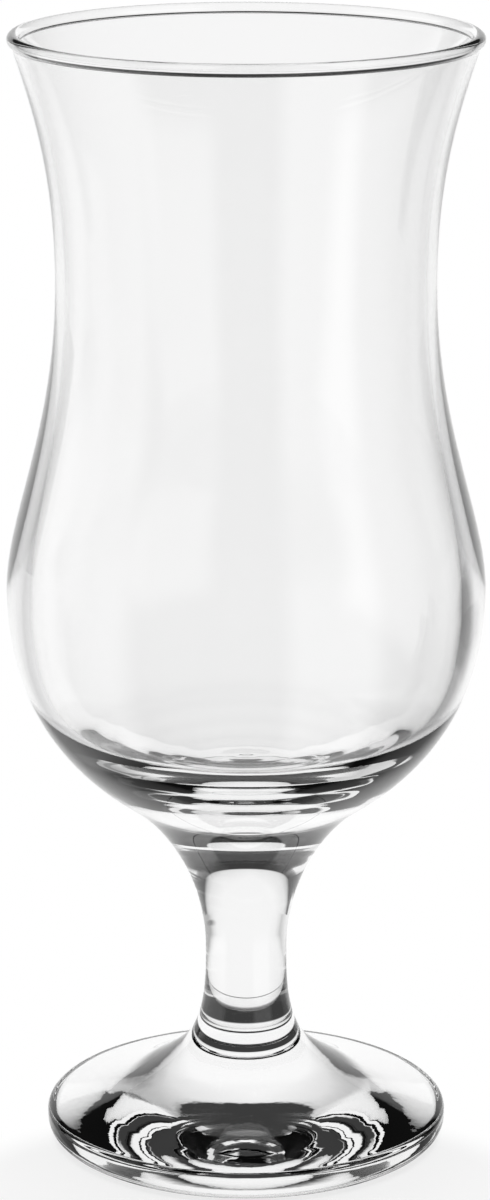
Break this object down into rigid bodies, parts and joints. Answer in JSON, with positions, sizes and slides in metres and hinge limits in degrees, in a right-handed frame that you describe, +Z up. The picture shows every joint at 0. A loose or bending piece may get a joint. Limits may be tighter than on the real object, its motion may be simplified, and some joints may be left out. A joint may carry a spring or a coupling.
{
  "type": "stemmed hurricane glass",
  "caption": "Clear stemmed drinking glass with a flared rim, drawn-in waist, full belly, short solid stem and wide round foot, for water and mixed drinks.",
  "frame": {"origin": "centre of the flat ring that the foot stands on, in the plane of the table", "axes": "+Z up along the axis of the glass, through the middle of the rim; the picture looks along +Y with +X to the right"},
  "size_m": [0.0846, 0.0846, 0.2],
  "materials": {
    "bowl_glass": "clear, fire-polished",
    "stem_glass": "clear, fire-polished",
    "foot_glass": "clear, pressed and fire-polished"
  },
  "bodies": {
    "root": {"bowl": "bowl_glass", "stem": "stem_glass", "foot": "foot_glass"}
  },
  "joints": []
}
